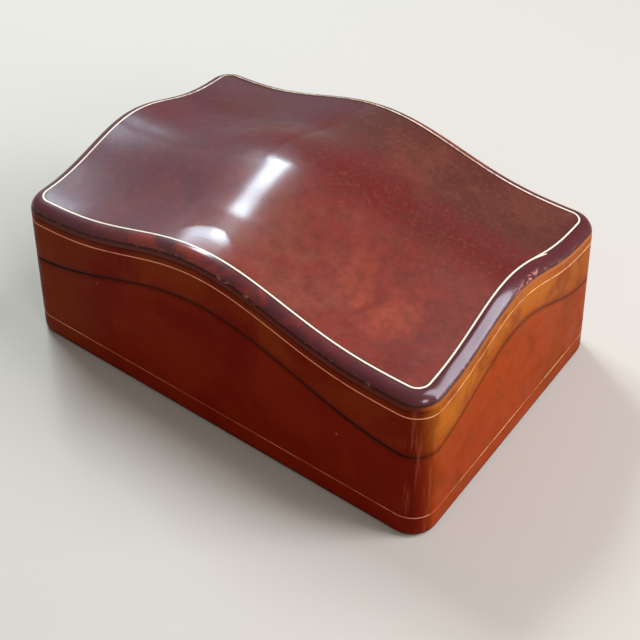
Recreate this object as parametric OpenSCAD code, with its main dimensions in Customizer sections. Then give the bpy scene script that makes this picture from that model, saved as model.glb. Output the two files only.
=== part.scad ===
// Stationery box: wooden carcass covered in leather, with a lift-off lid
// whose moulded top and seam rise in one soft wave on all four sides.
// Millimetres. The origin is the centre of the underside, +Z is up,
// +X runs along the long side and -Y is the front.

/* [Outline] */
// Length at the foot
foot_l = 255; // [235:1:275]
// Width at the foot
foot_w = 171; // [162:1:190]
// Inward lean of every wall, in degrees
draft = 2.6; // [0:0.1:4]
// Radius of the upright corners
corner_r = 13.6; // [11:0.1:14]

/* [Seam] */
// Height of the seam at the corners
seam_z = 53.1; // [48:0.1:56]
// Rise of the seam in the middle of the long sides
seam_long_rise = 25.5; // [10:0.5:27]
// Rise of the seam in the middle of the short sides
seam_short_rise = 22.3; // [8:0.1:23]
// Half length of the seam's wave on the long sides
seam_long_half = 118.5; // [90:0.5:119]
// Half length of the seam's wave on the short sides
seam_short_half = 74.6; // [55:0.2:76]

/* [Lid top] */
// Height of the lid's top at the corners
top_z = 87.8; // [86:0.1:96]
// Rise of the ridge that joins the two long sides
long_rise = 18.6; // [16:0.2:22]
// Rise of the ridge that joins the two short sides
short_rise = 13.8; // [12:0.2:18]
// Half length of the long sides' wave
long_half = 117; // [95:1:118]
// Half length of the short sides' wave
short_half = 75.5; // [55:0.5:76]
// Place of the crests along X
crest_x = -2.6; // [-6:0.2:2]
// Place of the crests along Y
crest_y = -4; // [-5:0.5:1]

/* [Rolled edge] */
// Width of the roll, from the wall to the flat of the top
roll_w = 7; // [6.6:0.1:8]
// Height of the roll, from the edge of the top leather to the top
roll_h = 7; // [6:0.1:8]

/* [Boards] */
// Thickness of the wall boards
board_t = 5; // [4:0.1:5]
// Thickness of the bottom board
bottom_t = 4; // [3:0.5:6]
// Thickness of the carved lid panel over the hollow
panel_t = 4; // [3:0.5:5]

/* [Leather and linings] */
// Thickness of the covering leather
leather_t = 1.5; // [1.4:0.1:1.6]
// Thickness of the suede pad under the foot
pad_t = 1.2; // [1.1:0.1:1.4]
// Thickness of the floor lining and the lid linings
lining_t = 1; // [0.8:0.1:1.2]
// Radius of the leather's turned lower edge
foot_round = 4; // [3.5:0.1:4]

/* [Locating lip] */
// Thickness of the four liners that stand inside the base
liner_t = 2; // [1.5:0.1:2.5]
// Height of the lip that the liners make above the seam
lip_h = 6; // [4:0.5:7]
// Play between the lip and the inside of the lid
play = 0.4; // [0.3:0.05:0.6]

/* [Hidden] */

front = 0;
right = 1;
back = 2;
left = 3;

lean = tan(draft);
wall_t = leather_t + board_t;
lid_wall_t = wall_t - play;
inner_r = 1;
edge_gap = 0.3;
lid_gap = 0.3;
foot_clear = 0.4;

// The outline is a loop of upright columns. Those on the straight walls keep
// their place at every height, and the rest turn the corners.
long_steps = 18;
short_steps = 12;
arc_steps = 4;

// One smooth hump that falls to nothing at half on either side
function wave(u, half, power) =
    abs(u) < half ? pow(cos(90 * u / half), power) : 0;

// Top of the lid: two crossing ridges added together
function top_at(x, y) =
    top_z
    + long_rise * wave(x - crest_x, long_half, 3)
    + short_rise * wave(y - crest_y, short_half, 3);

// Line where the rolled edge meets the lid's upright walls
function side_at(x, y) = top_at(x, y) - roll_h;

// Rim of the base
function seam_at(x, y) =
    seam_z
    + seam_long_rise * wave(x - crest_x, seam_long_half, 2)
    + seam_short_rise * wave(y - crest_y, seam_short_half, 2);

// Lower rim of the lid, clear of the base's rim by the fine open joint
function lid_seam_at(x, y) = seam_at(x, y) + lid_gap;

// Half length and half width at height z
function half_x(z) = foot_l / 2 - lean * z;
function half_y(z) = foot_w / 2 - lean * z;

// How far the straight columns run along each wall
long_reach = half_x(top_z) - corner_r - 2;
short_reach = half_y(top_z) - corner_r - 2;

// The corners tighten as the outline moves inwards
function soft_r(inset) = corner_r - 0.79 * inset;

function straight(from, to, steps) =
    [for (i = [0 : steps]) from + (to - from) * i / steps];

// A column is its place at seam height and the way its wall leans outwards
function corner(x, y, r, start, out) =
    [for (i = [0 : arc_steps])
        let (a = start + 90 * i / arc_steps)
        [x + r * cos(a), y + r * sin(a), out]];

// Columns along one side and round the corner after it
function side_columns(side, hx, hy, r) =
    side == front ? concat(
        [for (x = straight(-long_reach, long_reach, long_steps)) [x, -hy, [0, -1]]],
        corner(hx - r, r - hy, r, -90, [1, -1])) :
    side == right ? concat(
        [for (y = straight(-short_reach, short_reach, short_steps)) [hx, y, [1, 0]]],
        corner(hx - r, hy - r, r, 0, [1, 1])) :
    side == back ? concat(
        [for (x = straight(long_reach, -long_reach, long_steps)) [x, hy, [0, 1]]],
        corner(r - hx, hy - r, r, 90, [-1, 1])) :
    concat(
        [for (y = straight(short_reach, -short_reach, short_steps)) [-hx, y, [-1, 0]]],
        corner(r - hx, r - hy, r, 180, [-1, -1]));

function outline(inset, r) =
    let (hx = half_x(seam_z) - inset, hy = half_y(seam_z) - inset)
    [for (side = [front : left]) each side_columns(side, hx, hy, r)];

// Outline lifted to a height that may change from place to place
function ring(inset, r, height) =
    [for (column = outline(inset, r))
        let (
            z = height(column.x, column.y),
            shift = lean * (seam_z - z) * column.z)
        [column.x + shift.x, column.y + shift.y, z]];

// Ring drawn in towards the middle and laid on a surface
function drawn_in(loop, share, height) =
    [for (p = loop)
        [p.x * share, p.y * share, height(p.x * share, p.y * share)]];

// Columns of one side, from the middle of one corner to the next
function stretch(loop, side) =
    let (
        count = len(loop),
        half_arc = arc_steps / 2,
        steps = [long_steps, short_steps, long_steps, short_steps],
        starts = [
            0,
            long_steps + arc_steps + 2,
            long_steps + short_steps + 2 * arc_steps + 4,
            2 * long_steps + short_steps + 3 * arc_steps + 6
        ],
        first = starts[side] - half_arc - 1,
        last = starts[side] + steps[side] + half_arc + 1)
    [for (i = [first : last]) loop[(i + count) % count]];

// Two triangles over four points, split along the shorter diagonal
function patch(points, a, b, c, d) =
    norm(points[a] - points[c]) < norm(points[b] - points[d])
        ? [[a, b, c], [a, c, d]]
        : [[a, b, d], [b, c, d]];

// Tube of rings closed on itself: a covering that runs right round the box
module hoop(rings) {
    columns = len(rings[0]);
    count = len(rings);
    points = [for (loop = rings) each loop];
    polyhedron(
        points,
        [for (k = [0 : count - 1]) for (i = [0 : columns - 1])
            let (
                m = (k + 1) % count,
                j = (i + 1) % columns)
            each patch(
                points,
                k * columns + i, m * columns + i,
                m * columns + j, k * columns + j)]);
}

// The same tube cut off at both ends: a board on one side of the box
module board(rings, side) {
    strips = [for (loop = rings) stretch(loop, side)];
    columns = len(strips[0]);
    count = len(strips);
    points = [for (strip = strips) each strip];
    polyhedron(
        points,
        concat(
            [for (k = [0 : count - 1]) for (i = [0 : columns - 2])
                let (m = (k + 1) % count)
                each patch(
                    points,
                    k * columns + i, m * columns + i,
                    m * columns + i + 1, k * columns + i + 1)],
            [[for (k = [count - 1 : -1 : 0]) k * columns]],
            [[for (k = [0 : count - 1]) k * columns + columns - 1]]));
}

// Rings from one middle point out over the edge and back to another:
// a sheet or panel that covers the whole box
module cover(rings, start, end) {
    columns = len(rings[0]);
    count = len(rings);
    points = concat([for (loop = rings) each loop], [start, end]);
    polyhedron(
        points,
        concat(
            [for (k = [0 : count - 2]) for (i = [0 : columns - 1])
                let (j = (i + 1) % columns)
                each patch(
                    points,
                    k * columns + i, (k + 1) * columns + i,
                    (k + 1) * columns + j, k * columns + j)],
            [for (i = [0 : columns - 1])
                [count * columns, i, (i + 1) % columns]],
            [for (i = [0 : columns - 1])
                let (row = (count - 1) * columns)
                [count * columns + 1, row + (i + 1) % columns, row + i]]));
}

// Flat sheet with square or rounded corners
module sheet(inset, r, z, t) {
    hx = half_x(z + t) - inset;
    hy = half_y(z + t) - inset;
    translate([0, 0, z]) linear_extrude(t) {
        square([2 * (hx - r), 2 * hy], center = true);
        square([2 * hx, 2 * (hy - r)], center = true);
        for (sx = [-1, 1], sy = [-1, 1])
            translate([sx * (hx - r), sy * (hy - r)]) circle(r, $fn = 48);
    }
}

module underside_pad() {
    color("#4a2b1d") sheet(foot_round - 0.8, corner_r + 1, 0, pad_t);
}

module bottom_board() {
    color("#c9a878")
        translate([0, 0, pad_t])
            linear_extrude(bottom_t)
                square(
                    2 * [half_x(pad_t + bottom_t) - wall_t,
                        half_y(pad_t + bottom_t) - wall_t],
                    center = true);
}

module floor_lining() {
    z = pad_t + bottom_t;
    color("#7c3a2a")
        translate([0, 0, z])
            linear_extrude(lining_t)
                square(
                    2 * [half_x(z + lining_t) - wall_t - liner_t,
                        half_y(z + lining_t) - wall_t - liner_t],
                    center = true);
}

// Wall boards of the base, mitred at the corners, with the wave on their rims
module base_wall(side) {
    rim = function(x, y) seam_at(x, y);
    foot = function(x, y) pad_t;
    color("#c9a878") board([
        ring(leather_t, soft_r(leather_t), foot),
        ring(leather_t, soft_r(leather_t), rim),
        ring(wall_t, inner_r, rim),
        ring(wall_t, inner_r, foot)
    ], side);
}

module wall_front() base_wall(front);
module wall_right() base_wall(right);
module wall_back() base_wall(back);
module wall_left() base_wall(left);

// Liners stand on the bottom board and rise past the rim as a locating lip
module base_liner(side) {
    rim = function(x, y) seam_at(x, y) + lip_h;
    foot = function(x, y) pad_t + bottom_t;
    color("#7c3a2a") board([
        ring(wall_t, inner_r, foot),
        ring(wall_t, inner_r, rim),
        ring(wall_t + liner_t, inner_r / 2, rim),
        ring(wall_t + liner_t, inner_r / 2, foot)
    ], side);
}

module liner_front() base_liner(front);
module liner_right() base_liner(right);
module liner_back() base_liner(back);
module liner_left() base_liner(left);

// Leather round the base: turned under at the foot, eased at the seam
module side_leather() {
    r = soft_r(0);
    turn = [for (a = [30 : 20 : 70])
        [foot_round * (1 - sin(a)), foot_round * (1 - cos(a))]];
    color("#8a4526") hoop(concat(
        [ring(foot_round - 1, r, function(x, y) foot_clear)],
        [for (t = turn) ring(t.x, r, function(x, y) t.y)],
        [
            ring(0, r, function(x, y) foot_round),
            ring(0, r, function(x, y) seam_at(x, y) - edge_gap - 0.8),
            ring(0.5, r, function(x, y) seam_at(x, y) - edge_gap),
            ring(leather_t, soft_r(leather_t), function(x, y) seam_at(x, y) - edge_gap),
            ring(leather_t, soft_r(leather_t), function(x, y) pad_t),
            ring(foot_round - 1, soft_r(leather_t), function(x, y) pad_t)
        ]));
}

// Wall boards of the lid, from the seam up to the rolled edge
module lid_wall(side) {
    color("#c9a878") board([
        ring(leather_t, soft_r(leather_t), function(x, y) lid_seam_at(x, y)),
        ring(leather_t, soft_r(leather_t), function(x, y) side_at(x, y)),
        ring(lid_wall_t, inner_r + play, function(x, y) side_at(x, y)),
        ring(lid_wall_t, inner_r + play, function(x, y) lid_seam_at(x, y))
    ], side);
}

module lid_wall_front() lid_wall(front);
module lid_wall_right() lid_wall(right);
module lid_wall_back() lid_wall(back);
module lid_wall_left() lid_wall(left);

module lid_side_leather() {
    r = soft_r(0);
    color("#8a4526") hoop([
        ring(0.5, r, function(x, y) lid_seam_at(x, y) + edge_gap),
        ring(0, r, function(x, y) lid_seam_at(x, y) + edge_gap + 0.8),
        ring(0, r, function(x, y) side_at(x, y)),
        ring(leather_t, soft_r(leather_t), function(x, y) side_at(x, y)),
        ring(leather_t, soft_r(leather_t), function(x, y) lid_seam_at(x, y) + edge_gap)
    ]);
}

// Rolled edge: a quarter ellipse from the wall up to the top
function roll(depth, steps) =
    [for (i = [0 : steps])
        let (
            a = 90 * i / steps,
            inset = depth + (roll_w - depth) * (1 - cos(a)),
            rise = (roll_h - depth) * sin(a))
        ring(inset, soft_r(inset), function(x, y) side_at(x, y) + rise)];

// Where the rings lie between the middle and the edge, outwards and inwards
crown_out = [0.1 : 0.16 : 0.9];
crown_in = [0.9 : -0.16 : 0.1];
ceiling_out = [0.16 : 0.24 : 0.88];
ceiling_in = [0.88 : -0.24 : 0.16];

// Moulded leather over the top and down the roll
module lid_top_leather() {
    outer = roll(0, 6);
    inner = roll(leather_t, 4);
    crown = function(x, y) top_at(x, y);
    under = function(x, y) top_at(x, y) - leather_t;
    color("#5b211c") cover(
        concat(
            [for (s = crown_out) drawn_in(outer[6], s, crown)],
            [for (i = [6 : -1 : 0]) outer[i]],
            [for (i = [0 : 4]) inner[i]],
            [for (s = crown_in) drawn_in(inner[4], s, under)]),
        [0, 0, crown(0, 0)],
        [0, 0, under(0, 0)]);
}

// Carved panel under the leather, thick at the rim and hollowed below
module lid_panel() {
    edge = roll(leather_t, 4);
    crown = function(x, y) top_at(x, y) - leather_t;
    ceiling = function(x, y) top_at(x, y) - leather_t - panel_t;
    hollow = ring(lid_wall_t + lining_t, inner_r, ceiling);
    color("#c9a878") cover(
        concat(
            [for (s = crown_out) drawn_in(edge[4], s, crown)],
            [for (i = [4 : -1 : 0]) edge[i]],
            [
                ring(lid_wall_t, inner_r + play, function(x, y) side_at(x, y)),
                ring(lid_wall_t, inner_r + play, ceiling),
                hollow
            ],
            [for (s = ceiling_in) drawn_in(hollow, s, ceiling)]),
        [0, 0, crown(0, 0)],
        [0, 0, ceiling(0, 0)]);
}

module lid_top_lining() {
    ceiling = function(x, y) top_at(x, y) - leather_t - panel_t;
    face = function(x, y) ceiling(x, y) - lining_t;
    inset = lid_wall_t + lining_t;
    above = ring(inset, inner_r, ceiling);
    below = ring(inset, inner_r, face);
    color("#7c3a2a") cover(
        concat(
            [for (s = ceiling_out) drawn_in(above, s, ceiling)],
            [above, below],
            [for (s = ceiling_in) drawn_in(above, s, face)]),
        [0, 0, ceiling(0, 0)],
        [0, 0, face(0, 0)]);
}

// Linings of the lid's walls: they start above the lip
module lid_lining(side) {
    low = function(x, y) lid_seam_at(x, y) + lip_h + 1;
    high = function(x, y) top_at(x, y) - leather_t - panel_t;
    color("#7c3a2a") board([
        ring(lid_wall_t, inner_r + play, low),
        ring(lid_wall_t, inner_r + play, high),
        ring(lid_wall_t + lining_t, inner_r, high),
        ring(lid_wall_t + lining_t, inner_r, low)
    ], side);
}

module lid_lining_front() lid_lining(front);
module lid_lining_right() lid_lining(right);
module lid_lining_back() lid_lining(back);
module lid_lining_left() lid_lining(left);

underside_pad();
bottom_board();
wall_front();
wall_right();
wall_back();
wall_left();
side_leather();
floor_lining();
liner_front();
liner_right();
liner_back();
liner_left();
lid_wall_front();
lid_wall_right();
lid_wall_back();
lid_wall_left();
lid_panel();
lid_side_leather();
lid_top_leather();
lid_top_lining();
lid_lining_front();
lid_lining_right();
lid_lining_back();
lid_lining_left();
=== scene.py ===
import math

import bmesh
import bpy
from mathutils import Matrix, Vector


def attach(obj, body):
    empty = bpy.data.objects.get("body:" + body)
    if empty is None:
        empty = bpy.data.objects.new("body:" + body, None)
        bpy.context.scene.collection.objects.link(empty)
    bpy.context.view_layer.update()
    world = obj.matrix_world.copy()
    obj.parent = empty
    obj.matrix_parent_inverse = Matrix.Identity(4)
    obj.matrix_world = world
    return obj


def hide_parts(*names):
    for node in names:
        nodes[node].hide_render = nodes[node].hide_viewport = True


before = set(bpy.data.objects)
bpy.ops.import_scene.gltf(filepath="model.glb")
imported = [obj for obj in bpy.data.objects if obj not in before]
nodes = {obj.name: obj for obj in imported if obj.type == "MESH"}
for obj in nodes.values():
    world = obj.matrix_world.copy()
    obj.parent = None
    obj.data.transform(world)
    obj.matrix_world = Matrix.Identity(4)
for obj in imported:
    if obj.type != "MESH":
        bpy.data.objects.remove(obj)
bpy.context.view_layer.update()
mm = 0.001
print("frame loaded")

# The box's own sizes in millimetres, the same as its solids
boxShape = {
    "footLength": 255,
    "footWidth": 171,
    "lean": 2.6,  # degrees
    "cornerRadius": 13.6,
    "seamHeight": 53.1,
    "seamRise": (25.5, 22.3),  # on the long sides, on the short sides
    "seamHalf": (118.5, 74.6),
    "seamPower": 2,
    "topHeight": 87.8,
    "topRise": (18.6, 13.8),
    "topHalf": (117, 75.5),
    "topPower": 3,  # a higher power gives a narrower ridge
    "crest": (-2.6, -4),
    "rollSize": 7,
    "leather": 1.5,
    "joint": 0.3,  # open joint between the base's rim and the lid's
}

slope = math.tan(math.radians(boxShape["lean"]))
halfLength = boxShape["footLength"] / 2 - slope * boxShape["seamHeight"]
halfWidth = boxShape["footWidth"] / 2 - slope * boxShape["seamHeight"]


def wave(u, half, power):
    # one smooth hump that falls to nothing at half
    if abs(u) >= half:
        return 0
    return math.cos(math.pi / 2 * u / half) ** power


def twoRidges(x, y, rise, half, power):
    crestX, crestY = boxShape["crest"]
    along = rise[0] * wave(x - crestX, half[0], power)
    across = rise[1] * wave(y - crestY, half[1], power)
    return along + across


def topAt(x, y):
    rise, half, power = (boxShape[key] for key in ("topRise", "topHalf", "topPower"))
    return boxShape["topHeight"] + twoRidges(x, y, rise, half, power)


def seamAt(x, y):
    rise, half, power = (boxShape[key] for key in ("seamRise", "seamHalf", "seamPower"))
    return boxShape["seamHeight"] + twoRidges(x, y, rise, half, power)


def lidSeamAt(x, y):
    return seamAt(x, y) + boxShape["joint"]


def insetOf(x, y):
    # how far a point of the plan lies inside the outline
    r = boxShape["cornerRadius"]
    dx = abs(x) - (halfLength - r)
    dy = abs(y) - (halfWidth - r)
    outside = math.hypot(max(dx, 0), max(dy, 0)) + min(max(dx, dy), 0)
    return r - outside


def rollDrop(inset):
    # how far the rolled edge has turned down at this inset
    r = boxShape["rollSize"]
    return r - math.sqrt(r ** 2 - max(0, r - inset) ** 2) if inset < r else 0


def cornerOf(x, y):
    # 0 along the flat of a wall, and 9.6 in the middle of a rounded corner
    r = boxShape["cornerRadius"]
    return max(0, min(abs(x) - (halfLength - r), abs(y) - (halfWidth - r)))


# Modelling helpers

def deselectAll():
    if bpy.context.object and bpy.context.object.mode != "OBJECT":
        bpy.ops.object.mode_set(mode="OBJECT")
    bpy.ops.object.select_all(action="DESELECT")


def addBlock(name, inset, low, high):
    # a block of the box's plan, in metres, between two heights given in millimetres
    deselectAll()
    size = (2 * (halfLength - inset) * mm, 2 * (halfWidth - inset) * mm, (high - low) * mm)
    bpy.ops.mesh.primitive_cube_add(size=1, location=(0, 0, (low + high) / 2 * mm), scale=size)
    bpy.ops.object.transform_apply(location=True, rotation=True, scale=True)
    block = bpy.context.object
    block.name = name
    bpy.ops.object.mode_set(mode="EDIT")
    return block


def pick(piece, kind, test):
    # selects edges or faces of a piece in edit mode by their place or direction
    bpy.ops.mesh.select_mode(type=kind)
    bpy.ops.mesh.select_all(action="DESELECT")
    cage = bmesh.from_edit_mesh(piece.data)
    parts = cage.edges if kind == "EDGE" else cage.faces
    for part in parts:
        if test(part):
            part.select_set(True)
    cage.select_flush_mode()
    bmesh.update_edit_mesh(piece.data)


def isUpright(edge):
    a, b = edge.verts
    return abs(a.co.x - b.co.x) < 1e-6 and abs(a.co.y - b.co.y) < 1e-6


def edgesAt(height):
    def test(edge):
        return all(abs(v.co.z - height * mm) < 1e-6 for v in edge.verts)
    return test


def roundCorners(block, radius, segments=12):
    pick(block, "EDGE", isUpright)
    bpy.ops.mesh.bevel(offset=radius * mm, segments=segments, profile=0.5, affect="EDGES")


def openEnds(block, keepTop=False):
    pick(block, "FACE", lambda face: face.normal.z < -0.9 or (face.normal.z > 0.9 and not keepTop))
    bpy.ops.mesh.delete(type="FACE")


def cutEvery(step, heights=()):
    # upright cuts all over the plan, so that the wave has points to follow
    def cut(place, direction):
        bpy.ops.mesh.select_all(action="SELECT")
        bpy.ops.mesh.bisect(plane_co=place, plane_no=direction)

    countX = int(halfLength / step)
    for i in range(-countX, countX + 1):
        cut((i * step * mm, 0, 0), (1, 0, 0))
    countY = int(halfWidth / step)
    for i in range(-countY, countY + 1):
        cut((0, i * step * mm, 0), (0, 1, 0))
    for height in heights:
        cut((0, 0, height * mm), (0, 0, 1))


def applyModifier(piece, kind, **settings):
    bpy.ops.object.mode_set(mode="OBJECT")
    modifier = piece.modifiers.new(kind.title(), kind)
    for key, value in settings.items():
        setattr(modifier, key, value)
    bpy.ops.object.modifier_apply(modifier=modifier.name)


# what each point of a piece notes: how far it lies below the top, above the seam,
# inside the outline and into a rounded corner
pointNotes = ("belowTop", "aboveSeam", "inset", "corner")


def settle(piece, heightOf):
    # lifts the flat work onto the wave, leans its walls and writes the notes
    bpy.ops.object.mode_set(mode="OBJECT")
    mesh = piece.data
    for word in pointNotes:
        mesh.attributes.new(word, "FLOAT", "POINT")
    notes = {word: mesh.attributes[word].data for word in pointNotes}
    for i, vertex in enumerate(mesh.vertices):
        x, y, flat = vertex.co / mm
        z = heightOf(x, y, flat)
        notes["belowTop"][i].value = topAt(x, y) - z
        notes["aboveSeam"][i].value = z - seamAt(x, y)
        notes["inset"][i].value = insetOf(x, y)
        notes["corner"][i].value = cornerOf(x, y)
        spread = slope * (boxShape["seamHeight"] - z)
        x *= 1 + spread / halfLength
        y *= 1 + spread / halfWidth
        vertex.co = Vector((x, y, z)) * mm
    mesh.update()


def finishPiece(piece, material, body, replaced=(), smoothAngle=40):
    deselectAll()
    piece.select_set(True)
    bpy.context.view_layer.objects.active = piece
    bpy.ops.object.shade_smooth_by_angle(angle=math.radians(smoothAngle))
    piece.data.materials.clear()
    piece.data.materials.append(material)
    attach(piece, body)
    if replaced:
        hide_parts(*replaced)
    print(piece.name, "done,", len(piece.data.polygons), "faces")


# Material helpers

def addNode(tree, kind, inputs=None, **settings):
    node = tree.nodes.new(kind)
    for key, value in settings.items():
        setattr(node, key, value)
    for key, value in (inputs or {}).items():
        if isinstance(value, bpy.types.NodeSocket):
            tree.links.new(value, node.inputs[key])
        else:
            node.inputs[key].default_value = value
    return node


def noise(tree, place, scale, detail=4, roughness=0.55, distortion=0.0):
    node = addNode(tree, "ShaderNodeTexNoise", {
        "Vector": place, "Scale": scale, "Detail": detail,
        "Roughness": roughness, "Distortion": distortion})
    return node.outputs["Fac"]


def stretched(tree, place, scale, turn=0.0):
    node = addNode(tree, "ShaderNodeMapping", {
        "Vector": place, "Scale": scale, "Rotation": (0, 0, math.radians(turn))})
    return node.outputs["Vector"]


def between(tree, value, low, high, toLow=0.0, toHigh=1.0):
    node = addNode(tree, "ShaderNodeMapRange", {
        "Value": value, "From Min": low, "From Max": high,
        "To Min": toLow, "To Max": toHigh}, interpolation_type="SMOOTHSTEP")
    return node.outputs["Result"]


def across(tree, coordinate, low, high, toLow=0.0, toHigh=1.0):
    # the same for a coordinate, whose limits are given in millimetres
    return between(tree, coordinate, low * mm, high * mm, toLow, toHigh)


def switch(tree, mask, away, inside):
    # one value away from a mask and another inside it
    return between(tree, mask, 0, 1, away, inside)


def band(tree, value, start, full, fade, end):
    # 0 up to start, 1 from full to fade, and 0 again past end
    return times(tree, between(tree, value, start, full), between(tree, value, end, fade))


def calc(tree, operation, a, b=0.0):
    return addNode(tree, "ShaderNodeMath", {0: a, 1: b}, operation=operation).outputs[0]


def times(tree, value, *others):
    for other in others:
        value = calc(tree, "MULTIPLY", value, other)
    return value


def plus(tree, value, *others):
    for other in others:
        value = calc(tree, "ADD", value, other)
    return value


def apart(tree, value, middle=0.0):
    # how far a value is from the middle one, to either side
    return calc(tree, "ABSOLUTE", calc(tree, "SUBTRACT", value, middle))


def blend(tree, factor, a, b):
    node = tree.nodes.new("ShaderNodeMix")
    node.data_type = "RGBA"
    sockets = {"factor": node.inputs[0], "a": node.inputs[6], "b": node.inputs[7]}
    for key, value in (("factor", factor), ("a", a), ("b", b)):
        if isinstance(value, bpy.types.NodeSocket):
            tree.links.new(value, sockets[key])
        else:
            sockets[key].default_value = value if key == "factor" else (*value, 1)
    return node.outputs[2]


def attribute(tree, word):
    return addNode(tree, "ShaderNodeAttribute", attribute_name=word).outputs["Fac"]


def startMaterial(name):
    material = bpy.data.materials.new(name)
    material.use_nodes = True
    tree = material.node_tree
    shader = tree.nodes["Principled BSDF"]
    place = addNode(tree, "ShaderNodeTexCoord").outputs["Object"]
    return material, tree, shader, place


def blotch(tree, place, spot, wobble):
    # a soft round patch of the plan whose outline the wobble breaks up
    x, y, radius = spot
    centred = addNode(tree, "ShaderNodeMapping", {
        "Vector": place, "Location": (-x * mm, -y * mm, 0), "Scale": (1, 1, 0)})
    reach = addNode(tree, "ShaderNodeVectorMath", {0: centred.outputs["Vector"]}, operation="LENGTH")
    ragged = times(tree, plus(tree, wobble, -0.5), 3.6 * radius * mm)
    total = plus(tree, reach.outputs["Value"], ragged)
    return across(tree, total, 1.15 * radius, 0.1 * radius)


def rightEnd(tree, split):
    # the right wall between its corners, measured as at the seam, whatever the lean
    fromSeam = plus(tree, split.outputs["Z"], -boxShape["seamHeight"] * mm)
    outward = plus(tree, split.outputs["X"], times(tree, fromSeam, slope))
    return times(tree, across(tree, outward, 118.5, 124.5), across(tree, split.outputs["Y"], -85, -73))


def boxFields(tree, place):
    # where a point lies on the box, for colour and wear to follow
    split = addNode(tree, "ShaderNodeSeparateXYZ", {0: place})
    fields = {word: attribute(tree, word) for word in pointNotes}
    fields.update(
        place=place, x=split.outputs["X"], y=split.outputs["Y"], z=split.outputs["Z"],
        rightEnd=rightEnd(tree, split))
    return fields


def addBump(tree, shader, height, distance, strength=1.0):
    bump = addNode(tree, "ShaderNodeBump", {
        "Height": height, "Distance": distance * mm, "Strength": strength})
    tree.links.new(bump.outputs["Normal"], shader.inputs["Normal"])


# Materials

topLook = {
    "red": (0.190, 0.028, 0.017),
    "rust": (0.320, 0.056, 0.028),
    "tan": (0.200, 0.052, 0.028),
    "deep": (0.112, 0.010, 0.008),
    "brown": (0.082, 0.019, 0.012),
    # partly dye and partly a painted sheen on the left of the top
    "violetSheen": (0.078, 0.020, 0.029),
    "roll": (0.082, 0.021, 0.023),
    "rollRed": (0.240, 0.032, 0.018),
    "rollWine": (0.075, 0.008, 0.009),
    "rollFoot": (0.110, 0.011, 0.003),
    # painted light: paler and more orange on the right end, where it is lit
    "footRightLit": (0.310, 0.072, 0.005),
    # painted shade, for the line along the roll's lower edge and beside the tooled line
    "paintedShadeLine": (0.030, 0.006, 0.005),
    "scuff": (0.520, 0.210, 0.170),
    # bands of the plan, each from where it begins to where it is full
    "frontRed": (24, -12),
    "backBrown": (35, 62),
    "leftSheenBand": (8, -50),
    "rightRoll": (112, 120),
    "rollStart": 7.6,  # inset where the dark edge begins
    "lineInset": 7,  # inset of the tooled line
    "dyeEnd": 5.2,  # depth below the top where the dark dye ends
    "rubDepths": (2.8, 3.8, 4.4, 5.2),  # where the dye is rubbed off, below the top
    "chipDepths": (1.6, 2.8, 4.2, 4.9),
    "chippedSpot": (123, 8, 22),
    "crease": {"x": -6, "y": -66.6, "bow": 9, "waver": 1.2, "width": (0.5, 0.1), "reach": (14, 9)},
    "crestX": -9,  # where the polish is best
    "polish": (0.66, 0.4),  # there, and to either side
    "freshPolish": 0.75,
    "coatRoughness": 0.18,
    "roughness": (0.34, 0.46),
    "specular": 0.12,
    "bumpHeight": 0.10,
    # blotches of the patina on the plan: x, y, radius, shade, strength
    "patina": [
        (62, -40, 46, "red", 0.8), (14, -40, 30, "tan", 0.45), (44, -62, 26, "tan", 0.6),
        (84, -46, 17, "rust", 0.75), (58, -38, 15, "rust", 0.4), (99, -66, 18, "deep", 0.5),
        (24, 22, 26, "deep", 0.7), (106, 19, 16, "deep", 0.8), (-16, 36, 22, "deep", 0.5),
        (36, 50, 26, "tan", 0.3), (90, 62, 28, "tan", 0.28), (66, 6, 24, "brown", 0.5),
        (-53, -33, 22, "red", 0.12), (-66, -52, 16, "tan", 0.12),
        (-78, 54, 34, "brown", 0.5), (-30, 14, 24, "deep", 0.55), (-96, 8, 20, "deep", 0.3)],
}


def dyeTop(tree, fields):
    # red in the middle and to the front, deep and brown to the back, violet to the left: partly the
    # leather's dye and partly painted light, the red front painted as lit and the violet a painted sheen
    look = topLook
    towardsBack = plus(tree, fields["y"], times(tree, fields["clouds"], 0.04))
    front = across(tree, towardsBack, *look["frontRed"])
    color = blend(tree, front, look["deep"], look["red"])
    color = blend(tree, across(tree, towardsBack, *look["backBrown"]), color, look["brown"])
    left = across(tree, fields["x"], *look["leftSheenBand"])
    left = times(tree, left, between(tree, fields["patches"], 0.40, 0.62, 1, 0.72), 0.9)
    color = blend(tree, left, color, look["violetSheen"])
    for x, y, radius, shade, strength in look["patina"]:
        amount = blotch(tree, fields["place"], (x, y, radius), fields["wobble"])
        color = blend(tree, times(tree, amount, strength), color, look[shade])
    spread = times(tree, between(tree, fields["patches"], 0.58, 0.76), switch(tree, front, 0.14, 0.35))
    color = blend(tree, spread, color, look["rust"])
    dark = times(tree, between(tree, fields["mottle"], 0.36, 0.74), 0.5)
    color = blend(tree, dark, color, look["brown"])
    flecks = noise(tree, fields["place"], 430, 4, 0.7)
    pale = times(tree, between(tree, flecks, 0.50, 0.72), 0.42)
    return blend(tree, pale, color, look["tan"])


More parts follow.
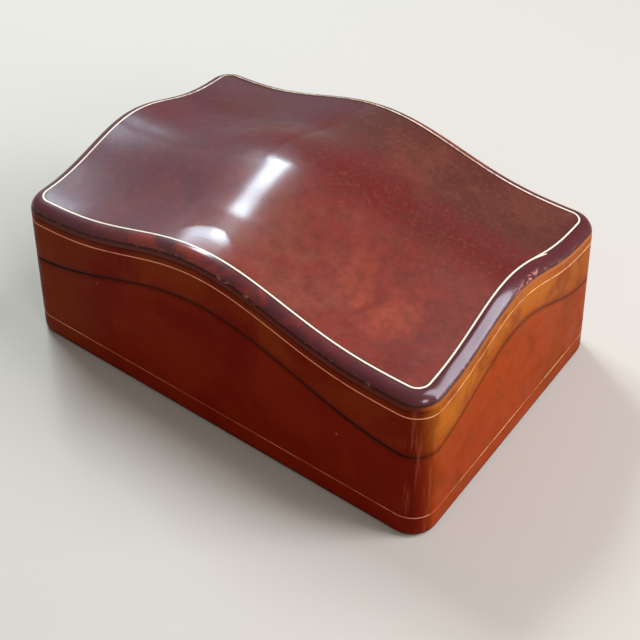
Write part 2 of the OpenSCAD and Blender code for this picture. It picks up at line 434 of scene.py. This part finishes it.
def dyeRoll(tree, fields, color):
    # the rolled edge is dyed dark, and rubbed red in the middle of the long sides
    look = topLook
    edge = plus(tree, fields["inset"], times(tree, fields["mottle"], 0.8))
    roll = between(tree, edge, look["rollStart"] + 0.6, look["rollStart"] - 1.2)
    middle = across(tree, apart(tree, fields["x"]), 90, 25, 0.15, 1)
    rubbed = times(
        tree, between(tree, fields["patches"], 0.40, 0.60), times(tree, middle, 0.8),
        switch(tree, fields["rightRoll"], 1, 0.2))
    rollColor = blend(tree, rubbed, look["roll"], look["rollRed"])
    rollColor = blend(tree, times(tree, fields["rightRoll"], 0.6), rollColor, look["rollWine"])
    color = blend(tree, roll, color, rollColor)
    # the dark dye ends above the leather's own edge: there the colour of the walls begins, painted paler
    # and more orange on the right end as lit
    depth = plus(tree, fields["belowTop"], times(tree, fields["wobble"], 1.4))
    footColor = blend(tree, fields["rightEnd"], look["rollFoot"], look["footRightLit"])
    color = blend(tree, between(tree, depth, look["dyeEnd"] - 0.3, look["dyeEnd"] + 0.5), color, footColor)
    # a painted shadow line along the roll's lower edge, where the dark dye ends
    fromDyeEnd = apart(tree, depth, look["dyeEnd"])
    color = blend(tree, times(tree, between(tree, fromDyeEnd, 0.8, 0.2), 0.9), color, look["paintedShadeLine"])
    # painted shade at both sides of the tooled line, where it is pressed in
    besideLine = apart(tree, fields["inset"], look["lineInset"])
    return blend(tree, times(tree, between(tree, besideLine, 1.25, 0.7), 0.85), color, look["paintedShadeLine"])


def scuffsOf(tree, fields):
    # the dye is rubbed thin low on the roll, and chipped off in one place at the right
    look = topLook
    rubs = noise(tree, stretched(tree, fields["place"], (1, 1, 2)), 230, 4, 0.6, 0.6)
    scuffs = times(
        tree, band(tree, fields["belowTop"], *look["rubDepths"]), between(tree, rubs, 0.54, 0.70), 0.5,
        between(tree, fields["clouds"], 0.44, 0.58), between(tree, fields["corner"], 1.5, 0.2))
    flakes = noise(tree, stretched(tree, fields["place"], (1, 0.6, 1)), 190, 4, 0.65, 1.8)
    chips = times(
        tree, blotch(tree, fields["place"], look["chippedSpot"], fields["wobble"]),
        band(tree, fields["belowTop"], *look["chipDepths"]), between(tree, flakes, 0.50, 0.57), 0.75)
    return calc(tree, "MAXIMUM", scuffs, chips)


def creaseOf(tree, fields):
    # one fine bowed crease along the front edge, before the highest part
    crease = topLook["crease"]
    lengthwise = apart(tree, fields["x"], crease["x"] * mm)
    bow = times(tree, lengthwise, lengthwise, crease["bow"])
    waver = times(tree, fields["mottle"], crease["waver"] * mm)
    beside = apart(tree, plus(tree, fields["y"], -crease["y"] * mm, bow, waver))
    return times(tree, across(tree, beside, *crease["width"]), across(tree, lengthwise, *crease["reach"]))


def polishOf(tree, fields):
    # best over the crest, thin to the right and low on the roll, and worn dull in a
    # bowed band near the front and on the back's left half
    look = topLook
    fromCrest = plus(tree, fields["x"], -look["crestX"] * mm)
    wavering = plus(tree, fields["y"], times(tree, fields["mottle"], 4 * mm))
    bowed = plus(tree, wavering, times(tree, fromCrest, fromCrest, 30))
    frontBand = times(
        tree, across(tree, wavering, -41, -49), across(tree, bowed, -58, -54.5),
        across(tree, fields["x"], -32, -22))
    backLeft = times(tree, across(tree, wavering, -16.5, -10.5), across(tree, fields["x"], -12, -18))
    dull = calc(tree, "MAXIMUM", frontBand, backLeft)
    polish = times(
        tree, across(tree, apart(tree, fromCrest), 12, 28, *look["polish"]),
        across(tree, fields["x"], 10, 50, 1, 0.4), between(tree, fields["belowTop"], 5.0, 3.5, 0.1, 1),
        switch(tree, dull, 1, 0.08))
    # still fresh on the right roll's front part and round the front right corner
    freshRoll = times(tree, fields["rightRoll"], across(tree, fields["y"], 4, -12))
    freshCorner = times(
        tree, between(tree, fields["corner"], 2, 5), across(tree, fields["y"], -50, -60),
        across(tree, fields["x"], 50, 60))
    fresh = calc(tree, "MAXIMUM", freshRoll, freshCorner)
    onRoll = between(tree, fields["belowTop"], 5.2, 4.4, 0, look["freshPolish"])
    return plus(tree, polish, times(tree, fresh, onRoll))


def makeTopLeather():
    material, tree, shader, place = startMaterial("topLeather")
    look = topLook
    fields = boxFields(tree, place)
    fields.update(
        rightRoll=across(tree, fields["x"], *look["rightRoll"]),
        clouds=noise(tree, place, 16, 5, 0.6, 0.6),
        patches=noise(tree, place, 34, 6, 0.65, 1.2),
        mottle=noise(tree, place, 170, 5, 0.65),
        wobble=noise(tree, place, 48, 6, 0.65, 0.5))
    scuffs = scuffsOf(tree, fields)
    crease = creaseOf(tree, fields)
    color = dyeRoll(tree, fields, dyeTop(tree, fields))
    color = blend(tree, scuffs, color, look["scuff"])
    # the crease is darkened with painted shade
    color = blend(tree, times(tree, crease, 0.6), color, look["roll"])
    tree.links.new(color, shader.inputs["Base Color"])
    shine = between(tree, noise(tree, place, 90, 5, 0.6), 0.3, 0.7, *look["roughness"])
    tree.links.new(shine, shader.inputs["Roughness"])
    tree.links.new(polishOf(tree, fields), shader.inputs["Coat Weight"])
    shader.inputs["Coat Roughness"].default_value = look["coatRoughness"]
    shader.inputs["Specular IOR Level"].default_value = look["specular"]
    grain = times(tree, noise(tree, place, 1300, 3, 0.6), 0.55)
    waves = noise(tree, place, 110, 3, 0.5)
    dents = times(tree, noise(tree, place, 26, 2, 0.5), 1.4)
    height = plus(tree, grain, waves, dents, times(tree, scuffs, 1.2), times(tree, crease, -1.5))
    addBump(tree, shader, height, look["bumpHeight"])
    return material


sideLook = {
    "cognac": (0.205, 0.011, 0.001),
    "mahogany": (0.160, 0.005, 0.001),
    "ginger": (0.205, 0.026, 0.001),
    "paleAndLit": (0.355, 0.096, 0.007),  # painted light on the right end, paler and more orange where it is lit; on the back the leather's own paler tone
    "paleAndLitRed": (0.268, 0.035, 0.003),
    "paleAndLitBrown": (0.170, 0.027, 0.002),
    "leftWarmReflection": (0.185, 0.025, 0.001),
    # painted shade, beside the seam, under the roll, along the foot and round the corners
    "paintedShade": (0.070, 0.006, 0.002),
    "seamDark": (0.012, 0.006, 0.005),
    # pale: painted highlights in streaks at the corners, and worn nicks
    "rubbed": (0.420, 0.090, 0.040),
    "paleBackBand": (70, 82),  # Y where the back begins, and where it is fully paled
    "roughness": (0.34, 0.5),
    "specular": 0.025,
    "specularTint": (1.0, 0.5, 0.2),
    "bumpHeight": 0.10,
}


def dyeWalls(tree, fields):
    # redder below the seam and browner at both ends, the left end's brown a painted reflection of a warm
    # floor; the right end painted paler and more orange as lit, and the back a paler tone
    look = sideLook
    height = plus(tree, fields["aboveSeam"], times(tree, fields["clouds"], 14))
    low = between(tree, height, 19, -1)
    shade = blend(tree, low, look["ginger"], look["cognac"])
    shade = blend(tree, between(tree, fields["clouds"], 0.38, 0.66), shade, look["mahogany"])
    # a painted reflection of a warm floor, browner towards the left end
    shade = blend(tree, across(tree, fields["x"], -55, -105, 0, 0.6), shade, look["leftWarmReflection"])
    shade = blend(tree, across(tree, fields["x"], 55, 110, 0, 0.4), shade, look["mahogany"])
    paleAndLitTone = blend(tree, low, look["paleAndLit"], look["paleAndLitRed"])
    paleAndLitTone = blend(tree, between(tree, fields["clouds"], 0.45, 0.75, 0, 0.4), paleAndLitTone, look["cognac"])
    smoky = noise(tree, fields["place"], 46, 6, 0.65, 1.0)
    paleAndLitTone = blend(tree, between(tree, smoky, 0.45, 0.66, 0, 0.72), paleAndLitTone, look["paleAndLitBrown"])
    paleAndLitTone = blend(tree, across(tree, fields["y"], 0, 70, 0, 0.45), paleAndLitTone, look["paleAndLitBrown"])
    # the right end's paler tone is painted light, the back's is the leather's own
    paleAndLitMask = calc(tree, "MAXIMUM", fields["rightEnd"], across(tree, fields["y"], *look["paleBackBand"]))
    color = blend(tree, paleAndLitMask, shade, paleAndLitTone)
    color = blend(tree, between(tree, fields["patches"], 0.52, 0.78, 0, 0.35), color, look["ginger"])
    fine = noise(tree, fields["place"], 420, 4, 0.6)
    return blend(tree, between(tree, fine, 0.45, 0.75, 0, 0.2), color, look["mahogany"])


def paintShadeOnWalls(tree, fields, color):
    # painted shade beside the seam, a painted shadow under the roll, and painted shade along the foot
    look = sideLook
    fromSeam = apart(tree, fields["aboveSeam"])
    ragged = plus(tree, fromSeam, times(tree, fields["patches"], 2.4))
    nearSeam = times(tree, between(tree, ragged, 4.6, 1.3), switch(tree, fields["rightEnd"], 0.8, 0.5))
    color = blend(tree, nearSeam, color, look["paintedShade"])
    # the two lips of the seam are darkest towards the corners
    towardsEnds = across(tree, apart(tree, fields["x"]), 45, 90, 0.15, 0.9)
    lips = times(
        tree, between(tree, fromSeam, 0.85, 0.3), towardsEnds, switch(tree, fields["rightEnd"], 1, 0.3))
    color = blend(tree, lips, color, look["seamDark"])
    ragged = times(tree, fields["patches"], switch(tree, fields["rightEnd"], -1.2, 0.4))
    underRoll = between(tree, plus(tree, fields["belowTop"], ragged), 9.0, 6.8)
    underRoll = times(tree, underRoll, switch(tree, fields["rightEnd"], 0.8, 0.12))
    color = blend(tree, underRoll, color, look["paintedShade"])
    return blend(tree, across(tree, fields["z"], 5.5, 1), color, look["paintedShade"])


def markCornersAndNicks(tree, fields, color):
    # painted shade round the corners and painted highlights there in upright streaks, with small pale nicks
    # of wear
    look = sideLook
    color = blend(tree, between(tree, fields["corner"], 1.0, 7.0, 0, 0.42), color, look["paintedShade"])
    highlightStreaks = noise(tree, stretched(tree, fields["place"], (1, 1, 0.05)), 420, 3, 0.6)
    # the upright streaks are painted highlights
    rubs = times(tree, between(tree, fields["corner"], 1.8, 5.0), between(tree, highlightStreaks, 0.48, 0.70), 0.36)
    color = blend(tree, rubs, color, look["rubbed"])
    nicks = between(tree, noise(tree, fields["place"], 150, 1, 0.4), 0.81, 0.84)
    return blend(tree, times(tree, nicks, 0.6), color, look["rubbed"])


def makeSideLeather():
    material, tree, shader, place = startMaterial("sideLeather")
    look = sideLook
    fields = boxFields(tree, place)
    fields.update(
        clouds=noise(tree, place, 22, 5, 0.6, 0.8),
        patches=noise(tree, place, 60, 5, 0.6))
    color = paintShadeOnWalls(tree, fields, dyeWalls(tree, fields))
    tree.links.new(markCornersAndNicks(tree, fields, color), shader.inputs["Base Color"])
    shine = between(tree, noise(tree, place, 110, 5, 0.6), 0.3, 0.7, *look["roughness"])
    tree.links.new(shine, shader.inputs["Roughness"])
    shader.inputs["Specular IOR Level"].default_value = look["specular"]
    shader.inputs["Specular Tint"].default_value = (*look["specularTint"], 1)
    grain = times(tree, noise(tree, place, 1100, 3, 0.6), 0.3)
    waves = noise(tree, place, 120, 3, 0.5)
    addBump(tree, shader, plus(tree, grain, waves), look["bumpHeight"])
    return material


lineLook = {
    "cream": (0.74, 0.58, 0.43),
    "worn": (0.36, 0.22, 0.13),
    "gold": (0.72, 0.29, 0.16),
    "litGold": (0.95, 0.62, 0.28),  # a painted highlight: brighter where it is lit, on the right end
    "faded": (0.40, 0.10, 0.04),
    "rightEnd": (119, 126),
    # spots of the plan where the tooling has rubbed off: x, y, radius
    "lostTop": [(-100, 96, 62), (-30, 96, 62), (40, 96, 50), (-134, 40, 30)],
    "lostFoot": [(127, -70, 12), (-18, -85, 16), (127, 20, 14), (127, 66, 16), (60, 85, 20)],
}


def makeTooling(name, fresh, worn, low, high, metallic, lost=()):
    # a line that wears from fresh to worn where its noise passes from low to high
    material, tree, shader, place = startMaterial(name)
    wear = noise(tree, place, 260, 5, 0.7)
    patches = noise(tree, place, 40, 3, 0.6)
    amount = between(tree, plus(tree, wear, patches), low, high)
    for spot in lost:
        amount = calc(tree, "MAXIMUM", amount, blotch(tree, place, spot, wear))
    if metallic:
        # painted highlight: brighter gold on the right end
        x = addNode(tree, "ShaderNodeSeparateXYZ", {0: place}).outputs["X"]
        fresh = blend(tree, across(tree, x, *lineLook["rightEnd"]), fresh, lineLook["litGold"])
    tree.links.new(blend(tree, amount, fresh, worn), shader.inputs["Base Color"])
    shader.inputs["Metallic"].default_value = metallic
    shader.inputs["Roughness"].default_value = 0.42
    shader.inputs["Specular IOR Level"].default_value = 0.25
    addBump(tree, shader, wear, 0.05)
    return material


woodLook = {"pale": (0.62, 0.47, 0.29), "dark": (0.44, 0.30, 0.17), "dyedRim": (0.070, 0.018, 0.010)}


def makeBoard():
    material, tree, shader, place = startMaterial("poplarBoard")
    look = woodLook
    rings = noise(tree, stretched(tree, place, (6, 40, 60)), 3, 6, 0.6, 1.5)
    pores = noise(tree, stretched(tree, place, (40, 500, 500)), 4, 3, 0.6)
    color = blend(tree, between(tree, rings, 0.35, 0.7), look["pale"], look["dark"])
    color = blend(tree, between(tree, pores, 0.6, 0.8, 0, 0.35), color, look["dark"])
    # faces that look up or down are dyed like the leather's edge
    facing = addNode(tree, "ShaderNodeTexCoord").outputs["Normal"]
    level = apart(tree, addNode(tree, "ShaderNodeSeparateXYZ", {0: facing}).outputs["Z"])
    color = blend(tree, between(tree, level, 0.5, 0.7), color, look["dyedRim"])
    tree.links.new(color, shader.inputs["Base Color"])
    shader.inputs["Roughness"].default_value = 0.6
    addBump(tree, shader, pores, 0.06)
    return material


liningLook = {"tan": (0.40, 0.135, 0.070), "deep": (0.27, 0.075, 0.042), "pale": (0.50, 0.20, 0.11)}


def makeLining():
    material, tree, shader, place = startMaterial("skiverLining")
    look = liningLook
    clouds = noise(tree, place, 28, 5, 0.6, 0.8)
    color = blend(tree, between(tree, clouds, 0.35, 0.65), look["tan"], look["deep"])
    specks = noise(tree, place, 600, 4, 0.6)
    color = blend(tree, between(tree, specks, 0.5, 0.8, 0, 0.5), color, look["pale"])
    tree.links.new(color, shader.inputs["Base Color"])
    shader.inputs["Roughness"].default_value = 0.68
    addBump(tree, shader, specks, 0.08)
    return material


suedeLook = {"brown": (0.15, 0.075, 0.045), "light": (0.24, 0.13, 0.08)}


def makeSuede():
    material, tree, shader, place = startMaterial("suedePad")
    nap = noise(tree, place, 1200, 4, 0.7)
    brushed = noise(tree, stretched(tree, place, (1, 0.4, 1), 20), 60, 4, 0.6)
    amount = between(tree, plus(tree, nap, brushed), 0.8, 1.3)
    tree.links.new(blend(tree, amount, suedeLook["brown"], suedeLook["light"]), shader.inputs["Base Color"])
    shader.inputs["Roughness"].default_value = 0.95
    shader.inputs["Sheen Weight"].default_value = 0.4
    addBump(tree, shader, nap, 0.15)
    return material


topLeather = makeTopLeather()
sideLeather = makeSideLeather()
creamTooling = makeTooling(
    "creamTooling", lineLook["cream"], lineLook["worn"], 1.15, 1.45, 0, lineLook["lostTop"])
goldTooling = makeTooling("goldTooling", lineLook["gold"], lineLook["faded"], 0.95, 1.3, 0.7)
footTooling = makeTooling(
    "footTooling", lineLook["gold"], lineLook["faded"], 0.8, 1.2, 0.5, lineLook["lostFoot"])
poplarBoard = makeBoard()
skiverLining = makeLining()
suedePad = makeSuede()
print("materials made")

# Leather over the top and down the roll

topWork = {
    "depth": 12,  # of the block that the roll is turned from
    "rollSegments": 10,
    "cutStep": 2.5,
    "thickness": 1.3,
    "sunk": 0.12,  # how far below the box's own top the leather lies
}


def makeTopPiece():
    roll = boxShape["rollSize"]
    piece = addBlock("top_leather_skin", 0, -topWork["depth"], 0)
    roundCorners(piece, boxShape["cornerRadius"])
    openEnds(piece, keepTop=True)
    pick(piece, "EDGE", edgesAt(0))
    bpy.ops.mesh.bevel(
        offset=roll * mm, segments=topWork["rollSegments"], profile=0.5,
        affect="EDGES", clamp_overlap=False)
    bpy.ops.mesh.select_all(action="SELECT")
    bpy.ops.mesh.bisect(plane_co=(0, 0, -roll * mm), plane_no=(0, 0, 1), clear_inner=True)
    cutEvery(topWork["cutStep"])
    applyModifier(piece, "SOLIDIFY", thickness=topWork["thickness"] * mm, offset=-1)
    settle(piece, lambda x, y, flat: topAt(x, y) + flat - topWork["sunk"])
    finishPiece(piece, topLeather, "lid", ["lid_top_leather"])


makeTopPiece()

# Leather round the walls. The flat work is a band whose two edges keep their form,
# and the part between them is drawn out to the height that the wave leaves

bandWork = {
    "cutStep": 2.5,
    # how far each leather edge reaches into the joint, and how much more in the middle
    "edgeLap": (0.09, 0.05),
    "lapHalf": 85,
    "easedEdge": 0.25,
    "keptEdge": 5,  # height at each edge that isn't drawn out
    "lidBand": 24,  # heights of the two flat bands
    "baseBand": 50,
    "footTurn": 3,  # height of the turned foot on the flat band
    "footRound": 4,  # and on the box
    "footClear": 0.4,  # from the foot's lowest edge to the table
}


def drawnOut(flat, tall, low, high):
    kept = bandWork["keptEdge"]
    if flat < kept:
        return low + flat
    if flat > tall - kept:
        return high - (tall - flat)
    share = (flat - kept) / (tall - 2 * kept)
    return low + kept + share * (high - low - 2 * kept)


def bandHeights(tall):
    kept = bandWork["keptEdge"]
    return [kept + (tall - 2 * kept) * i / 4 for i in range(5)]


def makeBand(name, tall, turnFoot):
    piece = addBlock(name, 0, 0, tall)
    roundCorners(piece, boxShape["cornerRadius"])
    if turnFoot:
        pick(piece, "EDGE", edgesAt(0))
        bpy.ops.mesh.bevel(
            offset=bandWork["footTurn"] * mm, segments=6, profile=0.5,
            affect="EDGES", clamp_overlap=False)
    openEnds(piece)
    cutEvery(bandWork["cutStep"], bandHeights(tall))
    applyModifier(piece, "SOLIDIFY", thickness=boxShape["leather"] * mm, offset=-1)
    bpy.ops.object.mode_set(mode="EDIT")
    return piece


def easeRim(piece, height):
    # rounds the outer edge of one rim
    def onRim(edge):
        level = edgesAt(height)(edge)
        outer = all(insetOf(v.co.x / mm, v.co.y / mm) < 0.5 for v in edge.verts)
        return level and outer
    pick(piece, "EDGE", onRim)
    bpy.ops.mesh.bevel(
        offset=bandWork["easedEdge"] * mm, segments=3, profile=0.5,
        affect="EDGES", clamp_overlap=False)


def edgeLapAt(x):
    ends, more = bandWork["edgeLap"]
    return ends + more * wave(x, bandWork["lapHalf"], 1)


def makeLidBand():
    tall = bandWork["lidBand"]
    piece = makeBand("lid_side_skin", tall, False)
    easeRim(piece, 0)

    def heightOf(x, y, flat):
        low = lidSeamAt(x, y) - edgeLapAt(x)
        high = topAt(x, y) - boxShape["rollSize"]
        return drawnOut(flat, tall, low, high)

    settle(piece, heightOf)
    finishPiece(piece, sideLeather, "lid", ["lid_side_leather"])


def makeBaseBand():
    tall = bandWork["baseBand"]
    piece = makeBand("base_side_skin", tall, True)
    easeRim(piece, tall)

    def heightOf(x, y, flat):
        high = seamAt(x, y) + edgeLapAt(x)
        clear, turn = bandWork["footClear"], bandWork["footTurn"]
        stretch = (bandWork["footRound"] - clear) / turn
        foot = min(flat, turn) * (stretch - 1)
        return max(drawnOut(flat, tall, clear, high), clear) + foot * (flat < turn + 1)

    settle(piece, heightOf)
    finishPiece(piece, sideLeather, "base", ["side_leather"])


makeLidBand()
makeBaseBand()

# Tooled lines: a cream one inside the rolled edge, and fine gold ones on the walls

lineWork = {
    "topInset": topLook["lineInset"],
    "backShift": 1.2,  # how much further out it lies at the back left
    "backStrip": 25,
    "overlap": (19, 33, 1.35),  # from and to along the right side, and how far aside it ends
    "endTaper": 0.5,
    "topWidth": 0.95,
    "sideDrop": 11.2,  # below the top's own wave
    "sideWidth": 0.65,
    "footHeight": 13.8,
    "footWidth": 0.5,
    "proud": 0.06,  # how far the lines stand out of the leather
    "thick": 0.16,
    "cutStep": 2.5,
}


def onTop(x, y, flat):
    lift = lineWork["proud"] - topWork["sunk"]
    return topAt(x, y) - rollDrop(insetOf(x, y)) + flat + lift


def makeTopLine():
    outer = lineWork["topInset"] - lineWork["topWidth"] / 2
    piece = addBlock("top_line", outer, -5, 0)
    roundCorners(piece, boxShape["cornerRadius"] - outer)
    pick(piece, "FACE", lambda face: face.normal.z < 0.9)
    bpy.ops.mesh.delete(type="FACE")
    bpy.ops.mesh.select_all(action="SELECT")
    bpy.ops.mesh.inset(thickness=lineWork["topWidth"] * mm, depth=0)
    pick(piece, "FACE", lambda face: face.calc_area() > (halfLength * mm) ** 2)
    bpy.ops.mesh.delete(type="FACE")
    # at the back left the line lies a little further out, over the turn of the edge
    pick(piece, "EDGE", lambda edge: all(
        v.co.y > (halfWidth - lineWork["backStrip"]) * mm and v.co.x < 0 for v in edge.verts))
    bpy.ops.transform.translate(value=(0, lineWork["backShift"] * mm, 0))
    cutEvery(lineWork["cutStep"])
    applyModifier(piece, "SOLIDIFY", thickness=lineWork["thick"] * mm, offset=-1)
    settle(piece, onTop)
    finishPiece(piece, creamTooling, "lid")


def makeLineEnd():
    # where the line was begun and ended by hand, its two ends pass each other
    start, end, aside = lineWork["overlap"]
    deselectAll()
    inside = halfLength - lineWork["topInset"]
    size = (lineWork["topWidth"] * mm, (end - start) * mm, 1)
    bpy.ops.mesh.primitive_plane_add(size=1, location=(inside * mm, (start + end) / 2 * mm, 0))
    piece = bpy.context.object
    piece.name = "top_line_end"
    piece.scale = size
    bpy.ops.object.transform_apply(location=True, rotation=True, scale=True)
    bpy.ops.object.mode_set(mode="EDIT")
    cutEvery(lineWork["cutStep"])
    bpy.ops.object.mode_set(mode="OBJECT")
    for vertex in piece.data.vertices:
        share = (vertex.co.y / mm - start) / (end - start)
        half = (vertex.co.x - inside * mm) * (1 - lineWork["endTaper"] * share ** 3)
        vertex.co.x = inside * mm + half + aside * mm * share ** 1.5
    applyModifier(piece, "SOLIDIFY", thickness=lineWork["thick"] * mm, offset=-1)
    settle(piece, lambda x, y, flat: onTop(x, y, flat) + 0.01)
    finishPiece(piece, creamTooling, "lid")


def makeWallLine(name, width, heightOf, material, body):
    proud = lineWork["proud"]
    piece = addBlock(name, -proud, -width / 2, width / 2)
    roundCorners(piece, boxShape["cornerRadius"] + proud)
    openEnds(piece)
    cutEvery(lineWork["cutStep"])
    applyModifier(piece, "SOLIDIFY", thickness=lineWork["thick"] * mm, offset=-1)
    settle(piece, lambda x, y, flat: heightOf(x, y) + flat)
    finishPiece(piece, material, body)


makeTopLine()
makeLineEnd()
makeWallLine(
    "lid_side_line", lineWork["sideWidth"],
    lambda x, y: topAt(x, y) - lineWork["sideDrop"], goldTooling, "lid")
makeWallLine(
    "foot_line", lineWork["footWidth"], lambda x, y: lineWork["footHeight"], footTooling, "base")

# The other solids keep their shape: they show when the lid is off, or from below

def dress(word, material):
    for name, node in nodes.items():
        if word in name and not node.hide_render:
            if not node.material_slots:
                node.data.materials.append(material)
            for materialSlot in node.material_slots:
                materialSlot.material = material


dress("wall", poplarBoard)
dress("bottom_board", poplarBoard)
dress("panel", poplarBoard)
dress("liner", skiverLining)
dress("lining", skiverLining)
dress("pad", suedePad)
print("solids dressed")

# Floor, light and camera

stageLook = {
    "floor": (0.52, 0.46, 0.38),
    "floorSize": 6,
    "air": (1.0, 0.98, 0.97),
    "airStrength": 0.22,
}


def makeFloor():
    deselectAll()
    bpy.ops.mesh.primitive_plane_add(size=stageLook["floorSize"], location=(0, 0, 0))
    floor = bpy.context.object
    floor.name = "floor"
    material, _, shader, _ = startMaterial("paleFloor")
    shader.inputs["Base Color"].default_value = (*stageLook["floor"], 1)
    shader.inputs["Roughness"].default_value = 0.8
    shader.inputs["Specular IOR Level"].default_value = 0.2
    floor.data.materials.append(material)


lampAim = 0.1  # height of the point that the lamps surround, in metres

# Each lamp is a soft pane seen from the box between two bearings: azimuth from +X
# towards +Y, and elevation. Its level is the brightness of the pane itself
lampLook = {
    "window": {
        "start": (141, 44.5), "end": (172, 53.8), "width": 0.24,
        "distance": 1.3, "level": 40, "color": (0.70, 0.87, 1.0)},
    "lowWindow": {
        "start": (149, 27), "end": (146.5, 44), "width": 0.12,
        "distance": 1.3, "level": 20, "color": (0.66, 0.87, 1.0)},
    "backGlow": {
        "start": (152, -3.5), "end": (152, 44), "width": 1.2,
        "distance": 1.6, "level": 0.42, "color": (0.92, 0.90, 1.0)},
    "sideWindow": {
        "start": (25, 3), "end": (27, 70), "width": 0.62,
        "distance": 1.5, "level": 10.2, "color": (0.82, 0.85, 1.0)},
    "cornerWindow": {
        "start": (-26, 23), "end": (-26, 34), "width": 0.42,
        "distance": 1.4, "level": 14, "color": (0.95, 0.97, 1.0)},
}


def bearing(azimuth, elevation):
    a, e = math.radians(azimuth), math.radians(elevation)
    return Vector((math.cos(a) * math.cos(e), math.sin(a) * math.cos(e), math.sin(e)))


def addPane(name, look):
    start, end = bearing(*look["start"]), bearing(*look["end"])
    outward = (start + end).normalized()
    along = (end - start).normalized()
    height = 2 * math.tan(start.angle(end) / 2) * look["distance"]
    pane = bpy.data.lights.new(name, "AREA")
    pane.shape = "RECTANGLE"
    pane.size = look["width"]
    pane.size_y = height
    pane.energy = look["level"] * math.pi * look["width"] * height  # watts for its size
    pane.color = look["color"]
    lamp = bpy.data.objects.new(name, pane)
    bpy.context.scene.collection.objects.link(lamp)
    turn = Matrix((along.cross(outward), along, outward)).transposed()
    place = outward * look["distance"] + Vector((0, 0, lampAim))
    lamp.matrix_world = Matrix.Translation(place) @ turn.to_4x4()


def makeLight():
    world = bpy.data.worlds.new("plainRoom")
    bpy.context.scene.world = world
    world.use_nodes = True
    air = world.node_tree.nodes["Background"]
    air.inputs["Color"].default_value = (*stageLook["air"], 1)
    air.inputs["Strength"].default_value = stageLook["airStrength"]
    for name, look in lampLook.items():
        addPane(name, look)


cameraView = {
    "azimuth": 35.803,
    "elevation": 40.621,
    "roll": 0.213,
    "distance": 644.57,
    "aimRight": 16.21,
    "aimUp": 33.44,
    "focalPixels": 1161.4,
    "imageSize": 640,
    "middle": (340, 272.1),  # where the lens axis meets the picture
}


def makeCamera():
    view = cameraView
    a, e, r = (math.radians(view[key]) for key in ("azimuth", "elevation", "roll"))
    back = Vector((math.sin(a) * math.cos(e), -math.cos(a) * math.cos(e), math.sin(e)))
    level = Vector((math.cos(a), math.sin(a), 0))
    rise = back.cross(level)
    place = level * view["aimRight"] + rise * view["aimUp"] + back * view["distance"]
    right = level * math.cos(r) + rise * math.sin(r)
    up = rise * math.cos(r) - level * math.sin(r)
    lens = bpy.data.cameras.new("camera")
    camera = bpy.data.objects.new("camera", lens)
    bpy.context.scene.collection.objects.link(camera)
    turn = Matrix((right, up, back)).transposed()
    camera.matrix_world = Matrix.Translation(place * mm) @ turn.to_4x4()
    size = view["imageSize"]
    lens.sensor_width = 36
    lens.lens = view["focalPixels"] / size * lens.sensor_width
    lens.shift_x = (size / 2 - view["middle"][0]) / size
    lens.shift_y = (view["middle"][1] - size / 2) / size
    lens.clip_start = 0.01
    bpy.context.scene.camera = camera


makeFloor()
makeLight()
makeCamera()
bpy.context.scene.view_settings.view_transform = "Standard"
print("stage set")
